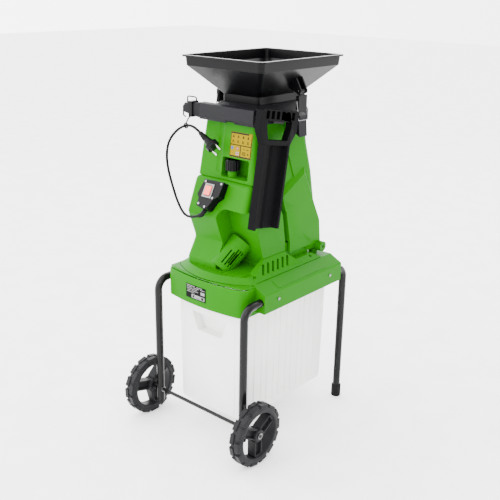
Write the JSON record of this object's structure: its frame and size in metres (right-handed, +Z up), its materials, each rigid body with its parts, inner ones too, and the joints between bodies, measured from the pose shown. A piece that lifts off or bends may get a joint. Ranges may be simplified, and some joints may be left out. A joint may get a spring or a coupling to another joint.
{
  "type": "wood chipper",
  "caption": "Electric garden chipper: tilting funnel tower over a motor base, wheeled tube frame, pull-out chip box, hung pusher, plug and cord.",
  "frame": {"origin": "on the floor, under the middle of the overall box measured without the cord", "axes": "+Z up, -Y the switch and axle side, +X the side the pusher hangs on"},
  "size_m": [0.431, 0.526, 1],
  "materials": {
    "green_plastic": "satin moulded, fine grain",
    "black_plastic": "satin moulded",
    "collar_plastic": "matt grained",
    "frame_paint": "gloss black",
    "rubber": "matt",
    "axle_steel": "zinc plated",
    "steel": "plain",
    "wheel_plastic": "matt moulded",
    "plate_print": "printed, no text",
    "box_plastic": "translucent, frosted",
    "label_print": "printed, no text",
    "bezel_plastic": "silver",
    "rocker_red": "gloss",
    "cord_rubber": "satin",
    "pin_chrome": "bright",
    "plate_steel": "ground",
    "motor_paint": "satin",
    "cast": "cast",
    "belt_rubber": "matt"
  },
  "bodies": {
    "base": {"frame_tube_left": "frame_paint", "frame_tube_right": "frame_paint", "foot_cap_left": "rubber", "foot_cap_right": "rubber", "wheel_axle": "frame_paint", "axle_spacers": "black_plastic", "axle_clips": "axle_steel", "base_skirt": "green_plastic", "rating_plate": "plate_print", "hinge_pin": "steel", "motor_cover": "green_plastic", "cover_screws": "steel", "frame_screws": "steel", "interlock_switch": "black_plastic", "switch_box": "black_plastic", "switch_lid": "black_plastic", "switch_bezel": "bezel_plastic", "switch_screws": "steel", "power_cord": "cord_rubber", "cord_gland": "cord_rubber", "mounting_plate": "plate_steel", "plate_screws": "steel", "motor_can": "motor_paint", "drive_belt": "belt_rubber", "belt_guard": "black_plastic", "bearing_housing": "cast", "spindle_bearings": "steel", "counter_blade": "steel"},
    "tower": {"tower_housing": "green_plastic", "feed_chute": "black_plastic", "warning_label": "label_print", "handle_collar": "collar_plastic", "collar_screws": "steel", "hopper": "black_plastic", "latch_pins": "steel", "cord_hook": "black_plastic", "plug_body": "cord_rubber", "plug_pins": "pin_chrome"},
    "latch_right": {"latch_lever_right": "black_plastic", "latch_wire_right": "steel"},
    "latch_left": {"latch_lever_left": "black_plastic", "latch_wire_left": "steel"},
    "pusher": {"pusher": "black_plastic"},
    "lock": {"lock_knob": "black_plastic", "lock_bolt": "steel"},
    "rocker": {"switch_rocker": "rocker_red"},
    "wheel_right": {"wheel_right": "wheel_plastic"},
    "wheel_left": {"wheel_left": "wheel_plastic"},
    "box": {"collection_box": "box_plastic"},
    "cutter": {"cutter_disc": "plate_steel", "cutter_blades": "steel", "blade_screws": "steel", "disc_nut": "steel", "spindle_shaft": "steel", "spindle_pulley": "cast"},
    "rotor": {"motor_shaft": "steel", "cooling_fan": "black_plastic", "motor_pulley": "cast"}
  },
  "joints": [
    {"name": "tower_tilt", "type": "hinge", "parent": "base", "child": "tower", "pos_m": [0, 0.195, 0.478], "axis": [-1, 0, 0], "range_deg": [0, 60], "deforming": ["power_cord"]},
    {"name": "box_slide", "type": "slide", "parent": "base", "child": "box", "axis": [0, 1, 0], "range_m": [0, 0.36]},
    {"name": "wheel_right_spin", "type": "hinge", "parent": "base", "child": "wheel_right", "pos_m": [0.196, -0.179, 0.084], "axis": [1, 0, 0], "continuous": true},
    {"name": "wheel_left_spin", "type": "hinge", "parent": "base", "child": "wheel_left", "pos_m": [-0.196, -0.179, 0.084], "axis": [1, 0, 0], "continuous": true},
    {"name": "lock_knob_turn", "type": "hinge", "parent": "tower", "child": "lock", "pos_m": [0.01, -0.066, 0.71], "axis": [0, 0, 1], "range_deg": [0, 360]},
    {"name": "latch_right_open", "type": "hinge", "parent": "tower", "child": "latch_right", "pos_m": [0.112, 0.077, 0.918], "axis": [0, -1, 0], "range_deg": [0, 110]},
    {"name": "latch_left_open", "type": "hinge", "parent": "tower", "child": "latch_left", "pos_m": [-0.112, 0.027, 0.918], "axis": [0, 1, 0], "range_deg": [0, 110]},
    {"name": "pusher_off", "type": "slide", "parent": "tower", "child": "pusher", "axis": [1, 0, 0], "range_m": [0, 0.12]},
    {"name": "switch_rocker_tilt", "type": "hinge", "parent": "base", "child": "rocker", "pos_m": [-0.018, -0.12537, 0.6746], "axis": [1, 0, 0], "range_deg": [-8, 8]},
    {"name": "cutter_spin", "type": "hinge", "parent": "base", "child": "cutter", "pos_m": [0, 0.075, 0.47], "axis": [0, 0, 1], "continuous": true},
    {"name": "motor_spin", "type": "hinge", "parent": "base", "child": "rotor", "pos_m": [-0.044, -0.05, 0.5], "axis": [0, 0, 1], "continuous": true}
  ],
  "couplings": [
    {"joint": "motor_spin", "follows": "cutter_spin", "ratio": 2}
  ]
}
